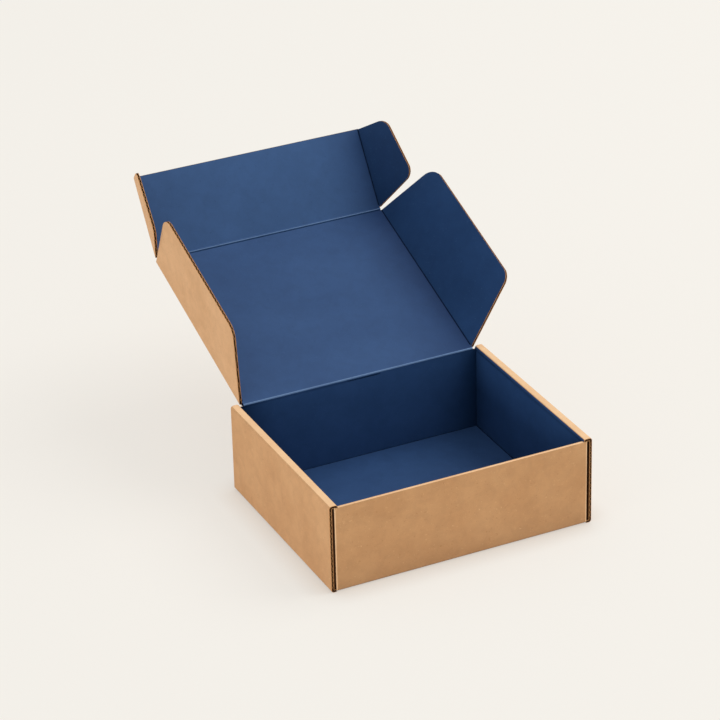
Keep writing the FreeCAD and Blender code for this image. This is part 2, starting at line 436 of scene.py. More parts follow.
# The same liner where it is folded over and on the top strip: partly rubbed and paler, partly a painted
# highlight where the folds and the strip catch the light
wornHighlightPaper = dict(kraftPaper, darkTone=colour(243, 196, 148), paleTone=colour(251, 209, 162),
                 fleck=colour(222, 172, 122), paleFleck=colour(255, 226, 190), mottle=0.05, fibre=0.06)

# Matt blue print on the inner liner
bluePrint = dict(
    darkTone=colour(47, 78, 123),
    paleTone=colour(52, 84, 130),
    fleck=colour(36, 62, 104),
    paleFleck=colour(74, 104, 148),
    fleckShare=0.3,
    cloudScale=16,
    mottleScale=80,
    mottle=0.08,
    fibre=0.06,
    roughness=0.6,
    specular=0.22,
    bump=0.12,
)

# Painted shade on the lid's turned-up ears: the same print, darker
earShadePrint = dict(bluePrint, darkTone=colour(30, 60, 101), paleTone=colour(35, 66, 109), specular=0.1)

# Deeper still on the tuck flap's ears, which turn away from the light
shadedPrint = dict(earShadePrint, darkTone=colour(24, 51, 89), paleTone=colour(28, 57, 96))

# The print on the tuck flap, painted paler because it stands steeper than the lid and faces the light more,
# with a painted shade towards its right ear
tuckLitAndShadedPrint = dict(bluePrint, darkTone=colour(53, 86, 131), paleTone=colour(58, 92, 139),
                 shadeAxis="X", shadeStart=60 * mm, shadeEnd=137 * mm, shadeTone=(0.28, 0.43, 0.55, 1),
                 oneSided=True)

# Painted shade on the print towards the creases and corners: on the lid towards its right ear, inside the
# tray towards the corners, where the walls' print is also painted darker
lidShadePrint = dict(bluePrint, shadeAxis="X", shadeStart=40 * mm, shadeEnd=138 * mm,
                shadeTone=(0.22, 0.4, 0.54, 1), oneSided=True)
endShadePrint = dict(bluePrint, darkTone=colour(43, 74, 118), paleTone=colour(48, 80, 126), specular=0.12,
                shadeAxis="X", shadeStart=80 * mm, shadeEnd=140 * mm, shadeTone=(0.22, 0.36, 0.4, 1),
                oneSided=False)
sideShadePrint = dict(endShadePrint, darkTone=colour(39, 69, 111), paleTone=colour(44, 75, 119),
                 shadeAxis="Y", shadeStart=70 * mm, shadeEnd=117 * mm, shadeTone=(0.62, 0.68, 0.7, 1))

# Painted shade on the print in a pressed crease and along the fold at the foot of the walls, and a painted
# highlight over the hinge
creaseShadePrint = dict(bluePrint, darkTone=colour(15, 32, 60), paleTone=colour(19, 38, 68), specular=0.05)
hingeHighlightPrint = dict(bluePrint, darkTone=colour(98, 128, 170), paleTone=colour(112, 142, 182))

# Inside the board, and the paper's own thickness at a cut; the medium's dark brown is also painted as shade
# in the narrow gaps at the corners and inside the flutes
mediumPaper = dict(darkTone=colour(58, 31, 12), paleTone=colour(88, 52, 24), roughness=0.9, specular=0.2)
cutEdge = dict(mediumPaper, darkTone=colour(180, 125, 75), paleTone=colour(212, 159, 106))

finishes = [
    makePaper("kraft liner", footShadeWallPaper),
    makePaper("blue print", bluePrint),
    makeMedium("fluted medium", mediumPaper),
    makeMedium("cut liner edge", cutEdge),
    makePaper("worn kraft fold", wornHighlightPaper),
    makePaper("blue print of the ears", earShadePrint),
    makePaper("blue print in a crease", creaseShadePrint),
    makePaper("blue print rubbed at the hinge", hingeHighlightPrint),
    makePaper("blue print of the tuck flap", tuckLitAndShadedPrint),
    makePaper("kraft liner of the flaps", flapPaper),
    makePaper("blue print of the lid", lidShadePrint),
    makePaper("blue print of the end walls", endShadePrint),
    makePaper("blue print of the side walls", sideShadePrint),
    makePaper("blue print of the tuck ears", shadedPrint),
    makePaper("kraft liner of the side walls", sidePaper),
    makePaper("kraft liner at the foot", footShadePaper),
]
(footShadedKraftSlot, blueSlot, mediumAndGapShadeSlot, cutSlot, wornHighlightSlot, earShadeSlot, creaseShadeSlot, hingeHighlightSlot,
 tuckLitAndShadedSlot, flapSlot, lidShadeSlot, endShadeSlot, sideShadeSlot, shadedSlot, sideKraftSlot, footShadeSlot) = range(len(finishes))
print("finishes made")


def paint(obj, slotOf):
    # gives each face the finish that slotOf names for its centre and normal: a normal whose part along
    # an axis is near 1 looks that way, and one near 0 lies across it
    obj.data.materials.clear()
    for material in finishes:
        obj.data.materials.append(material)
    for face in obj.data.polygons:
        face.material_index = slotOf(face.center, face.normal)


# Lid, tuck flap and their ears

flapDims = dict(
    hinge=Vector((0, 118.5 * mm, 98.5 * mm)),
    lean=19.1,  # of the lid above level, in degrees
    lidHalf=137.9 * mm,
    lidLength=233.5 * mm,
    tuckHalf=136.9 * mm,
    tuckLength=94.3 * mm,
    tuckBend=36.6,
    edgeGroove=0.15 * mm,
    edgeWorn=0.4 * mm,
    ridge=1.9 * mm,  # radius of the ridge along the crease between lid and tuck flap
    ridgeRise=0.7 * mm,
    ridgeHighlight=1.02 * mm,  # above this height the ridge gets a painted highlight
    ridgeRoom=3.2 * mm,  # the lid is lower from here to the crease
    ridgeGap=0.15 * mm,
    stepHeight=0.3 * mm,
    rimPress=1.6 * mm,  # radius of the pressed line beside an ear
    rimLift=0.4 * mm,
    rimOffset=0.15 * mm,
    rimEnd=4 * mm,  # the pressed line stops this short of a crease
    rimFreeEnd=1 * mm,  # and this short of the free edge
    beadInset=0.05 * mm,
    beadSide=0.1 * mm,  # the hinge's bead gets a painted highlight from this far back
    highlightSide=0.3 * mm,  # and below the print from this far back
    highlightFoot=0.9 * mm,  # down to here
    blueFoot=0.05 * mm,  # the print ends at this height
    pressDepth=0.02 * mm,  # a face this far below the surface is pressed
    furthest=-17.0,  # how low the lid can lean back, in degrees above level
    leanRoom=12 * mm,
)


# The tray

trayDims = dict(
    halfWidth=150 * mm,
    halfDepth=120 * mm,
    height=100 * mm,
    fold=3.04 * mm,  # outer radius of a fold
    footFlat=0.04 * mm,  # left flat beside the round fold under an end wall
    flange=2 * mm,  # of the roll, below the flat strip
    stripDepth=0.9 * mm,  # the kraft strip turns down this far inside
    wallDrop=1 * mm,  # from the strip to the inner wall
    stripEdge=140.2 * mm,  # inner face of the inner side walls
    wallHalf=146.3 * mm,  # half the width of the front and back walls
    wallTop=96.9 * mm,
    wallFoot=3.0 * mm,
    flapLength=72 * mm,  # corner flaps inside the rolled sides
    flapTaper=6 * mm,
    innerWallEnd=116.6 * mm,
    tabPlace=58 * mm,
    tabHalf=19 * mm,
    tabTaper=2 * mm,
    tabFoot=0.3 * mm,
    tabRoot=0.1 * mm,
    slotGap=0.06 * mm,
    foldShadeWidth=1.3 * mm,  # width of the painted shade along the fold between base and walls
    crushDepth=9 * mm,
    crushThick=0.42 * mm,
    fluteStart=5.2 * mm,  # flutes of the outer side wall, from its foot and top
    edgeRound=0.3 * mm,
    topGroove=0.15 * mm,
    highlightDepth=0.5 * mm,  # how far the worn fold with its painted highlight reaches down the side
    cornerHalf=144.2 * mm,  # half the width of the front face, beside the dark gap at the corner
    cornerRound=0.7 * mm,
    cornerHighlight=1.2 * mm,  # width of the paler strip there, worn and with a painted highlight
    gapDepth=2.5 * mm,
    lipTop=98.0 * mm,  # the back wall's inner liner goes up to the lid's crease
    lipHalf=140.1 * mm,
    lipRoot=1 * mm,
    skin=0.2 * mm,  # a face this close to a surface is taken as part of it
)

# Crushed medium where the board is folded hard: (x, z) of each sheet's bends, in millimetres
crushTop = [(149.1, 95.2), (147.9, 96.1), (149.3, 96.9), (148.0, 97.6), (149.0, 98.6), (147.7, 98.1),
            (147.6, 99.4), (146.4, 97.7), (145.2, 99.3), (143.9, 97.8), (142.5, 99.4), (141.5, 98.0),
            (142.2, 97.0), (140.9, 96.3)]
crushLow = [(147.2, 0.8), (147.9, 2.1), (148.6, 0.9), (148.2, 2.6), (149.3, 2.4), (147.9, 3.4),
            (149.2, 4.3), (148.0, 5.1)]


def makeRolledSide():
    # both liners go up outside, over the flat strip and down inside to the base
    dims = trayDims
    thick, liner = board["thick"], board["liner"]
    outer, top, inner = dims["halfWidth"], dims["height"], dims["stripEdge"]
    end, wallEnd = dims["halfDepth"], dims["innerWallEnd"]
    roll = Vector((outer - thick, 0, top / 2))  # a point inside the roll
    skin = [(outer - 2 * thick, 0, 0), (outer, 0, dims["fold"]), (outer, top, dims["fold"]),
            (inner, top, dims["fold"]), (inner, top - thick - dims["flange"], 0)]
    outside = foldedStrip("outside_liner", skin, alongDepth, -end, end, (0, 0, -1))
    applyModifier(outside, "SOLIDIFY", thickness=liner, offset=-1, use_even_offset=True)
    editMode(outside)
    pick(outside, lambda edge: all(abs(abs(v.co.y) - end) < samePoint for v in edge.verts)
         and any(abs(face.normal.y) < 0.1 and face.normal.dot(face.calc_center_median() - roll) > 0
                 for face in edge.link_faces), "EDGE")
    bpy.ops.mesh.bevel(offset=dims["edgeRound"], segments=2, affect="EDGES")
    objectMode()
    gap = thick - liner
    near = dims["fold"] - gap
    lining = [(outer - 2 * thick, gap, 0), (outer - gap, gap, near), (outer - gap, top - gap, near),
              (inner + gap, top - gap, near), (inner + gap, top - thick - dims["flange"], 0)]
    inside = foldedStrip("inside_liner", lining, alongDepth, -end, end, (0, 0, -1))
    applyModifier(inside, "SOLIDIFY", thickness=liner, offset=-1, use_even_offset=True)
    middle = outer - board["half"]
    low, high = dims["fluteStart"], top - dims["fluteStart"]
    room = thick - 2 * liner
    flutes = wavySheet("side_flutes", low, high, -end + board["recess"], end - board["recess"],
                       lambda a, b, along: Vector((middle + b, along, a)), room - board["medium"])
    crushed = []
    for name, path in (("crushed_top", crushTop), ("crushed_low", crushLow)):
        section = [(x * mm, z * mm, 0) for x, z in path]
        for side in (-1, 1):
            start = side * (end - board["recess"])
            finish = side * (end - dims["crushDepth"])
            near, far = sorted((start, finish))
            sheet = foldedStrip(name, section, alongDepth, near, far, (0, 0, 1))
            applyModifier(sheet, "SOLIDIFY", thickness=dims["crushThick"], offset=0)
            crushed.append(sheet)
    for sheet in crushed:
        paint(sheet, lambda centre, normal: mediumAndGapShadeSlot)
    paint(flutes, lambda centre, normal: cutSlot if abs(normal.y) > 0.5 else mediumAndGapShadeSlot)

    # kraft of the side walls, worn with a painted highlight on top, painted shade along the foot, shaded blue
    # where the liner turns down inside
    def outsideFinish(centre, normal):
        if abs(normal.y) > 0.2:
            return cutSlot
        # the liner's inner face inside the flutes: the medium's brown as painted shade
        if (centre - roll).dot(Vector((normal.x, 0, normal.z))) < 0:
            return mediumAndGapShadeSlot
        if centre.x < inner + board["half"] and centre.z < top - dims["stripDepth"] and normal.x < 0:
            return sideShadeSlot
        if -0.95 < normal.z < -0.5:
            return footShadeSlot
        return wornHighlightSlot if centre.z > top - dims["highlightDepth"] else sideKraftSlot

    paint(outside, outsideFinish)
    paint(inside, lambda centre, normal: cutSlot if abs(normal.y) > 0.5 else mediumAndGapShadeSlot)
    # inner wall with its two locking tabs
    wall = block("inner_wall", (inner, -wallEnd, dims["wallFoot"]),
                 (inner + thick, wallEnd, top - thick - dims["wallDrop"]))
    pieces = [wall]
    for spot in (-dims["tabPlace"], dims["tabPlace"]):
        tab = block("tab", (inner, spot - dims["tabHalf"], dims["tabFoot"]),
                    (inner + thick, spot + dims["tabHalf"], dims["wallFoot"] + dims["tabRoot"]))
        editMode(tab)
        pick(tab, lambda vertex: vertex.co.z < dims["wallFoot"] / 2)
        bpy.ops.transform.resize(value=(1, (dims["tabHalf"] - dims["tabTaper"]) / dims["tabHalf"], 1),
                                 center_override=(inner, spot, 0))
        objectMode()
        pieces.append(tab)
    wall = joinAll(pieces, "inner_wall")
    paint(wall, lambda centre, normal: sideShadeSlot if abs(normal.x) > 0.5 else cutSlot)
    return joinAll([outside, inside, flutes, wall] + crushed, "rolled_side")


def makeEndWall():
    # front wall, its bottom fold and the corner flaps that turn back into the rolled sides
    dims = trayDims
    face = -dims["halfDepth"]
    half = dims["cornerHalf"]
    thick = board["thick"]
    wall = block("wall", (-half, face, dims["wallFoot"]), (half, face + thick, dims["wallTop"]))
    fold = block("bottom_fold", (-half, face, 0), (half, face + thick, dims["wallFoot"]))
    editMode(fold)
    pick(fold, lambda edge: all(v.co.y < face + samePoint and v.co.z < samePoint for v in edge.verts), "EDGE")
    bpy.ops.mesh.bevel(offset=thick - dims["footFlat"], segments=board["foldSteps"], affect="EDGES")
    objectMode()
    for part in (wall, fold):
        editMode(part)
        pick(part, lambda edge: all(v.co.y < face + samePoint for v in edge.verts)
             and abs(edge.verts[0].co.x - edge.verts[1].co.x) < samePoint
             and abs(edge.verts[0].co.z - edge.verts[1].co.z) > samePoint, "EDGE")
        bpy.ops.mesh.bevel(offset=dims["cornerRound"], segments=3, affect="EDGES")
        for side in (-1, 1):
            selectAll()
            bpy.ops.mesh.bisect(plane_co=(side * (half - dims["cornerHighlight"]), 0, 0), plane_no=(1, 0, 0))
        objectMode()
    # the top edge: two liners with the side of the medium between them
    editMode(wall)
    pick(wall, lambda part: part.normal.z > 0.9, "FACE")
    bpy.ops.mesh.inset(thickness=board["liner"], use_even_offset=True)
    extrudeBy((0, 0, -dims["topGroove"]))
    objectMode()
    for part in (wall, fold):
        paint(part, wallFinish)
    pieces = [wall, fold]
    flapEnd = face + thick + dims["flapLength"]
    for side in (-1, 1):
        reach = sorted((side * (dims["wallHalf"] - thick), side * dims["wallHalf"]))
        flap = block("flap", (reach[0], face + dims["gapDepth"], dims["wallFoot"]),
                     (reach[1], flapEnd, dims["wallTop"] - dims["flapTaper"] / 4))
        editMode(flap)
        pick(flap, lambda vertex: vertex.co.y > flapEnd - board["half"])
        bpy.ops.transform.resize(value=(1, 1, 1 - 2 * dims["flapTaper"] / dims["height"]),
                                 center_override=(0, flapEnd, dims["height"] / 2))
        objectMode()
        paint(flap, flapPaint(side, face + dims["gapDepth"]))
        pieces.append(flap)
    return pieces


def wallFinish(centre, normal):
    # kraft outside with painted shade at the foot, a painted highlight on the top edge and where the wall
    # turns the corner, shaded blue inside
    dims = trayDims
    inside = -dims["halfDepth"] + board["thick"]
    if normal.z > 0.7 or (dims["wallTop"] - centre.z < dims["topGroove"] and abs(normal.z) < 0.1
                          and inside - board["thick"] + dims["skin"] < centre.y < inside - dims["skin"]):
        return wornHighlightSlot
    # the wall's ends beside the corner gaps: the medium's brown as painted shade
    if abs(normal.x) > 0.97:
        return mediumAndGapShadeSlot
    if -0.95 < normal.z < -0.5:
        return footShadeSlot
    if centre.y > inside - dims["skin"]:
        return endShadeSlot
    return wornHighlightSlot if abs(centre.x) > dims["cornerHalf"] - dims["cornerHighlight"] else footShadedKraftSlot


def flapPaint(side, start):
    def finish(centre, normal):
        # the flap's front end in the corner gap: the medium's brown as painted shade
        if centre.y < start + samePoint:
            return mediumAndGapShadeSlot
        if abs(normal.x) < 0.7:
            return cutSlot
        return footShadedKraftSlot if normal.x * side > 0 else endShadeSlot

    return finish


def makeBase():
    # blue inside, with slots for the tabs of the inner side walls
    dims = trayDims
    thick = board["thick"]
    across, along = dims["halfWidth"] - 2 * thick, dims["halfDepth"] - thick
    base = block("base", (-across, -along, 0), (across, along, thick))
    foldX, foldY = dims["stripEdge"] - dims["foldShadeWidth"], along - dims["foldShadeWidth"]
    editMode(base)
    for side in (-1, 1):
        for point, normal in (((side * foldX, 0, 0), (1, 0, 0)), ((0, side * foldY, 0), (0, 1, 0))):
            selectAll()
            bpy.ops.mesh.bisect(plane_co=point, plane_no=normal)
    objectMode()
    for turn in (-1, 1):
        for spot in (-dims["tabPlace"], dims["tabPlace"]):
            reach = sorted((turn * (dims["stripEdge"] - dims["slotGap"]),
                            turn * (dims["stripEdge"] + thick + dims["slotGap"])))
            halfSlot = dims["tabHalf"] + dims["slotGap"]
            slot = block("slot", (reach[0], spot - halfSlot, -thick), (reach[1], spot + halfSlot, 2 * thick))
            carve(base, slot)

    # a painted shade along the fold at the edge of the blue top
    def baseFinish(centre, normal):
        if normal.z > 0.7:
            inField = abs(centre.x) < foldX and abs(centre.y) < foldY
            return blueSlot if inField else creaseShadeSlot
        # the base's cut sides show the medium's brown, which at the corners stands in for shade
        return footShadedKraftSlot if normal.z < -0.7 else mediumAndGapShadeSlot

    paint(base, baseFinish)
    return base


def hingeRoom():
    # room over the back wall for the lid to lean all the way back
    half, depth = trayDims["wallHalf"], flapDims["leanRoom"]
    room = block("room", (-half, 0, -board["seat"]), (half, depth, depth))
    lean = Matrix.Rotation(math.radians(flapDims["furthest"]), 4, "X")
    place(room, Matrix.Translation(flapDims["hinge"]) @ lean)
    return room


def hingeSeat():
    reach = Vector((trayDims["halfWidth"], 0, 0))
    return rod("seat", flapDims["hinge"] - reach, flapDims["hinge"] + reach, board["seat"])


def makeBackWall(pieces):
    # the front wall turned round, with a lip that goes up to the lid's crease
    dims = trayDims
    for piece in pieces:
        place(piece, Matrix.Rotation(math.pi, 4, "Z"))
    carve(pieces[0], hingeRoom())
    inside = dims["halfDepth"] - board["thick"]
    lip = block("lip", (-dims["lipHalf"], inside, dims["wallTop"] - dims["lipRoot"]),
                (dims["lipHalf"], inside + board["half"], dims["lipTop"]))
    carve(lip, hingeSeat())
    carve(lip, hingeRoom())
    paint(lip, lambda centre, normal: cutSlot if abs(normal.x) > 0.7 else endShadeSlot)
    return joinAll(pieces + [lip], "back_wall")


rightSide = makeRolledSide()
leftSide = copyOf(rightSide, "rolled_side_left")
mirrorAcross(leftSide)
rightSide.name = "rolled_side_right"
print("rolled sides made")
frontPieces = makeEndWall()
backWall = makeBackWall([copyOf(piece, "back_" + piece.name) for piece in frontPieces])
frontWall = joinAll(frontPieces, "front_wall")
base = makeBase()
print("base, front and back walls made")
for piece in (rightSide, leftSide, frontWall, backWall, base):
    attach(piece, "tray")
    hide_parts("tray")


# The flaps are made flat: x across, y from the hinge, z towards the blue side

def lidPlace():
    return Matrix.Translation(flapDims["hinge"]) @ Matrix.Rotation(math.radians(flapDims["lean"]), 4, "X")


def tuckPlace():
    crease = Matrix.Translation((0, flapDims["lidLength"], 0))
    bend = Matrix.Rotation(math.radians(flapDims["tuckBend"]), 4, "X")
    return lidPlace() @ crease @ bend @ crease.inverted()


def earTurn(side, half, angle):
    crease = Matrix.Translation((side * half, 0, 0))
    return crease @ Matrix.Rotation(math.radians(-side * angle), 4, "Y") @ crease.inverted()


def flapFinish(crease, blue):
    # kraft below, blue above, the medium's brown inside the board and a paler cut edge, and painted shade
    # where the blue turns round the crease
    half = board["half"]

    def finish(centre, normal):
        if centre.x < crease - weld:
            away = Vector((centre.x - crease, centre.z))
            if abs(normal.y) > 0.7:
                return cutSlot
            if away.length < half - board["liner"] / 2:
                return mediumAndGapShadeSlot
            return flapSlot if centre.z < 0 else creaseShadeSlot
        if abs(normal.z) > 0.5:
            if abs(centre.z) < half - board["within"]:
                return mediumAndGapShadeSlot
            return flapSlot if centre.z < 0 else blue
        return cutSlot

    return finish


def outlineSheet(name, corners, height):
    # flat outline from four (x, y, radius) corners, round where the radius is above 0
    sheet = flatSheet(name, [Vector((x, y, height)) for x, y, radius in corners])
    points = [Vector((x, y, height)) for x, y, radius in corners]
    editMode(sheet)
    for index, (x, y, radius) in enumerate(corners):
        if radius > 0:
            here = points[index]
            angle = (points[index - 1] - here).angle(points[(index + 1) % 4] - here)
            pick(sheet, lambda vertex: isAt(vertex, [here]))
            reach = radius / math.tan(angle / 2)
            bpy.ops.mesh.bevel(offset=reach, segments=board["cornerSteps"], affect="VERTICES")
    objectMode()
    return sheet


def makeEar(name, corners, crease, blue):
    # right ear: one liner turns round the crease into the other, with real flutes between them
    half = board["half"]
    tip = max(corner[0] for corner in corners)
    ear = outlineSheet(name, corners, -half)
    upper = copyOf(ear, "upper")
    upper.data.transform(Matrix.Translation((0, 0, 2 * half)))
    editMode(ear)
    pick(ear, lambda edge: all(abs(v.co.x - crease) < samePoint for v in edge.verts), "EDGE")
    bpy.ops.mesh.spin(steps=board["creaseSteps"], angle=-math.pi, center=(crease, 0, 0), axis=(0, 1, 0))
    objectMode()
    ear = joinAll([ear, upper], name)
    editMode(ear)
    selectAll()
    bpy.ops.mesh.remove_doubles(threshold=weld)
    bpy.ops.mesh.normals_make_consistent(inside=False)
    objectMode()
    lowest = min(ear.data.polygons, key=lambda face: face.center.z)
    if lowest.normal.z > 0:
        flipFaces(ear)
    applyModifier(ear, "SOLIDIFY", thickness=board["liner"], offset=-1, use_even_offset=True)
    paint(ear, flapFinish(crease, blue))
    room = 2 * (half - board["liner"])
    flutes = wavySheet("ear_flutes", corners[0][1], corners[3][1], crease + board["thick"], tip + past,
                       lambda a, b, along: Vector((along, a, b)), room - board["medium"])
    # the flutes end a little inside the ear's outline
    keep = outlineSheet("keep", corners, -room / 2 + board["fluteGap"])
    editMode(keep)
    selectAll()
    bpy.ops.mesh.inset(thickness=board["recess"], use_even_offset=True)
    bpy.ops.mesh.select_all(action="INVERT")
    bpy.ops.mesh.delete(type="FACE")
    selectAll()
    extrudeBy((0, 0, room - 2 * board["fluteGap"]))
    faceOut()
    objectMode()
    carve(flutes, keep, "INTERSECT")
    paint(flutes, lambda centre, normal: cutSlot if abs(normal.x) > 0.1 else mediumAndGapShadeSlot)
    return joinAll([ear, flutes], name)


def creaseSeat(start, end, room):
    # what is cut away round a crease: a half round below, with upright sides above
    start, end, up = Vector(start), Vector(end), Vector((0, 0, 1))
    line = (end - start).normalized()
    turn = room - samePoint
    top = board["thick"]
    corners = [(-room, top, 0), (room, top, 0), (room, -room, turn), (-room, -room, turn)]
    seat = outlineSheet("seat", corners, 0)
    editMode(seat)
    selectAll()
    extrudeBy((0, 0, (end - start).length + 6 * past))
    faceOut()
    objectMode()
    axes = Matrix((up.cross(line), up, line)).transposed().to_4x4()
    place(seat, Matrix.Translation(start - line * 3 * past) @ axes)
    return seat


def creaseRidge(start, end, bend, across, radius):
    # the liner buckles into a round ridge on the blue side of a crease; across is the way off the panel
    half = math.radians(bend / 2)
    centre = (Vector((0, 0, math.cos(half))) - Vector(across) * math.sin(half)) * flapDims["ridgeRise"]
    return rod("ridge", Vector(start) + centre, Vector(end) + centre, radius)


def pressRims(obj, edge, start, end):
    # the panel's blue edges pressed down beside its ears' creases
    height = board["half"] + flapDims["rimLift"]
    for side in (-1, 1):
        rim = side * (edge + flapDims["rimOffset"])
        carve(obj, rod("press", (rim, start, height), (rim, end, height), flapDims["rimPress"]))


def makeLid():
    half, length = flapDims["lidHalf"], flapDims["lidLength"]
    surface = board["half"]
    lid = block("lid", (-half, 0, -surface), (half, length, surface))
    carve(lid, creaseSeat((-half, length, 0), (half, length, 0), board["seat"]))
    for side in (-half, half):
        carve(lid, creaseSeat((side, 0, 0), (side, length, 0), board["earSeat"]))
    edge = half - board["earSeat"]
    beadEnd = edge - flapDims["beadInset"]
    carve(lid, rod("hinge_bead", (-beadEnd, 0, 0), (beadEnd, 0, 0), surface), "UNION")
    carve(lid, creaseRidge((-half, length, 0), (half, length, 0), flapDims["tuckBend"], (0, 1, 0),
                           flapDims["ridge"] + flapDims["ridgeGap"]))
    stepStart = length - flapDims["ridgeRoom"]
    carve(lid, block("step", (-half, stepStart, flapDims["stepHeight"]), (half, length + past, 3 * past)))
    pressRims(lid, edge, flapDims["rimEnd"], length - flapDims["rimEnd"])

    # painted shade on the cut sides, the pressed rims and the lowered step before the crease; a painted
    # highlight over the hinge's bead
    def finish(centre, normal):
        if abs(normal.x) > 0.5:
            return creaseShadeSlot
        if centre.z < flapDims["blueFoot"] and normal.z < 0.3:
            highlighted = centre.y < -flapDims["highlightSide"] and centre.z > -flapDims["highlightFoot"]
            return hingeHighlightSlot if highlighted else flapSlot
        if centre.y < -flapDims["beadSide"]:
            return hingeHighlightSlot
        if abs(centre.x) > edge - flapDims["rimPress"] and centre.z < surface - flapDims["pressDepth"]:
            return creaseShadeSlot
        if centre.y > stepStart - weld:
            return creaseShadeSlot
        return lidShadeSlot

    paint(lid, finish)
    return lid


def makeTuck():
    half, start = flapDims["tuckHalf"], flapDims["lidLength"]
    end = start + flapDims["tuckLength"]
    surface = board["half"]
    tuck = block("tuck", (-half, start, -surface), (half, end, surface))
    # the free edge: worn corners, with the medium a little lower than the liners
    editMode(tuck)
    pick(tuck, lambda edge: all(v.co.y > end - samePoint for v in edge.verts)
         and abs(edge.verts[0].co.x - edge.verts[1].co.x) > half, "EDGE")
    bpy.ops.mesh.bevel(offset=flapDims["edgeWorn"], segments=1, affect="EDGES")
    pick(tuck, lambda face: face.normal.y > 0.99, "FACE")
    bpy.ops.mesh.inset(thickness=board["liner"] - flapDims["edgeWorn"], use_even_offset=True)
    extrudeBy((0, -flapDims["edgeGroove"], 0))
    objectMode()
    for side in (-half, half):
        carve(tuck, creaseSeat((side, start, 0), (side, end, 0), board["earSeat"]))
    edge = half - board["earSeat"]
    beadEnd = edge - flapDims["beadInset"]
    carve(tuck, rod("tuck_bead", (-beadEnd, start, 0), (beadEnd, start, 0), surface), "UNION")
    ridgeEnd = beadEnd - flapDims["beadInset"]
    carve(tuck, creaseRidge((-ridgeEnd, start, 0), (ridgeEnd, start, 0), flapDims["tuckBend"], (0, -1, 0),
                            flapDims["ridge"]), "UNION")
    pressRims(tuck, edge, start + flapDims["rimEnd"], end - flapDims["rimFreeEnd"])

    # a painted highlight on the ridge's top; painted shade on the cut sides and the pressed rims
    def finish(centre, normal):
        if centre.y > end - flapDims["edgeWorn"]:
            return mediumAndGapShadeSlot if centre.z > 0 else cutSlot
        if centre.z > surface + flapDims["ridgeHighlight"]:
            return hingeHighlightSlot
        if abs(normal.x) > 0.5:
            return creaseShadeSlot
        if centre.z < flapDims["blueFoot"] and normal.z < 0.3:
            return flapSlot
        if abs(centre.x) > edge - flapDims["rimPress"] and centre.z < surface - flapDims["pressDepth"]:
            return creaseShadeSlot
        return tuckLitAndShadedSlot

    paint(tuck, finish)
    return tuck


lid = makeLid()
place(lid, lidPlace())
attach(lid, "lid_panel")
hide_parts("lid_panel")
print("lid made")
tuck = makeTuck()
place(tuck, tuckPlace())
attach(tuck, "front_tuck")
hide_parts("front_tuck")
print("tuck flap made")

lidEar = dict(
    length=81 * mm,
    heel=33 * mm,  # slant beside the hinge
    toe=17 * mm,  # slant beside the tuck flap
    heelRadius=15 * mm,
    toeRadius=19 * mm,
    inset=2.5 * mm,
    rightFold=52.6,
    leftFold=87.7,
    blue=earShadeSlot,
)

tuckEar = dict(
    length=56 * mm,
    tipLength=40 * mm,
    heel=25 * mm,
    radius=13 * mm,
    inset=2.5 * mm,
    tipInset=0.4 * mm,
    rightFold=60.0,
    leftFold=76.5,
    blue=shadedSlot,
)


def makeEars(name, nodeName, corners, crease, dims, panelPlace):
    right = makeEar(name + "_right", corners, crease, dims["blue"])
    left = copyOf(right, name + "_left")
    mirrorAcross(left)
    for side, ear, angle in ((1, right, dims["rightFold"]), (-1, left, dims["leftFold"])):
        place(ear, panelPlace @ earTurn(side, crease, angle))
        node = nodeName + ("_right" if side > 0 else "_left")
        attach(ear, node)
        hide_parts(node)


root = flapDims["lidHalf"]
tip = root + lidEar["length"]
far = flapDims["lidLength"]
lidEarCorners = [(root, lidEar["inset"], 0), (tip, lidEar["heel"], lidEar["heelRadius"]),
                 (tip, far - lidEar["toe"], lidEar["toeRadius"]), (root, far - lidEar["inset"], 0)]
makeEars("lid_side_ear", "lid_ear", lidEarCorners, root, lidEar, lidPlace())
print("lid ears made")
root = flapDims["tuckHalf"]
near = flapDims["lidLength"]
freeEdge = near + flapDims["tuckLength"] - tuckEar["tipInset"]
tuckEarCorners = [(root, near + tuckEar["inset"], 0),
                  (root + tuckEar["length"], near + tuckEar["heel"], tuckEar["radius"]),
                  (root + tuckEar["tipLength"], freeEdge, tuckEar["radius"]), (root, freeEdge, 0)]
makeEars("tuck_side_ear", "tuck_ear", tuckEarCorners, root, tuckEar, tuckPlace())
print("tuck ears made")

# Bends are shaded smooth, the flat panels between them stay flat
for node in frame["bodies"].values():
    for piece in node.children:
        if piece.type == "MESH" and not piece.hide_render:
            activate(piece)
            bpy.ops.object.shade_smooth_by_angle(angle=math.radians(board["smoothAngle"]))
            for face in piece.data.polygons:
                if face.area > board["flatArea"]:
                    face.use_smooth = False


# Studio

studio = dict(
    floorSize=12,
    floorDrop=0.0004,  # below the box
    background=colour(245, 242, 236),
    floorTone=colour(244, 239, 230),
    contactShadowTone=colour(227, 218, 208),  # painted shadow of the floor close to the box
    contactShadowReach=0.03,
    contactSamples=12,
    floorGlow=0.7,  # share of the floor's look that isn't lit, which keeps its shadow faint
    ambient=0.68,
    keyPower=114,
    keySize=(3.6, 3.6),
    keyPlace=(3.15, -0.29, 4.06),
    fillPower=84,
    fillSize=(3.0, 0.8),
    fillPlace=(-6.0, -1.1, 0.75),
    lampAim=(0, 0.1, 0.1),
)

camera = dict(
    azimuth=25.34,
    elevation=27.59,
    roll=-1.49,
    distance=3.537,
    aim=(0.0253, 0.1692, 0.0883),
    focal=162.85,
    sensor=36,
    reach=50,
)


